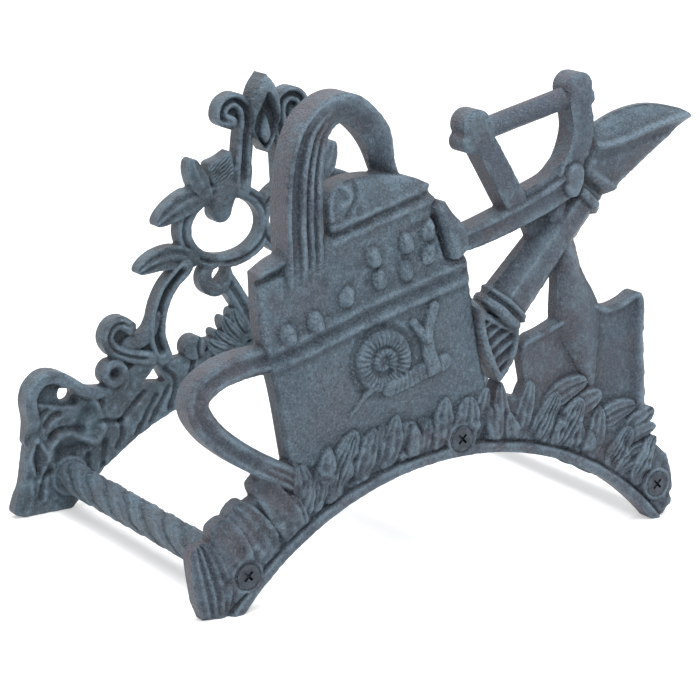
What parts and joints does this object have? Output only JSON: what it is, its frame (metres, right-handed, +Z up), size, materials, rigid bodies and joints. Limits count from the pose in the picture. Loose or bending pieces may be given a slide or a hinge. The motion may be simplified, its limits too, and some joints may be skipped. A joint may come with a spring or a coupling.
{
  "type": "garden hose hanger",
  "caption": "Wall-mounted cast hose hanger: a relief front plate with watering can, spade and grass, bars that carry the coiled hose, and a scrollwork back plate.",
  "frame": {"origin": "midway between the two wall-screw holes, on the wall face of the back plate", "axes": "+X to the right as seen from the front, +Y into the wall, +Z up; the wall face is Y = 0 and the feet stand 61.5 mm below the origin"},
  "size_m": [0.2991, 0.198, 0.2376],
  "materials": {
    "front_casting": "sand-cast, slate blue-grey with verdigris rub",
    "back_casting": "sand-cast, slate blue-grey with verdigris rub",
    "bars": "sand-cast, spirally ridged, slate blue-grey",
    "screws": "dull dark steel"
  },
  "bodies": {
    "root": {"front_plate": "front_casting", "back_plate": "back_casting", "left_spacer": "bars", "centre_spacer": "bars", "right_spacer": "bars", "front_screws": "screws", "rear_screws": "screws"}
  },
  "joints": []
}
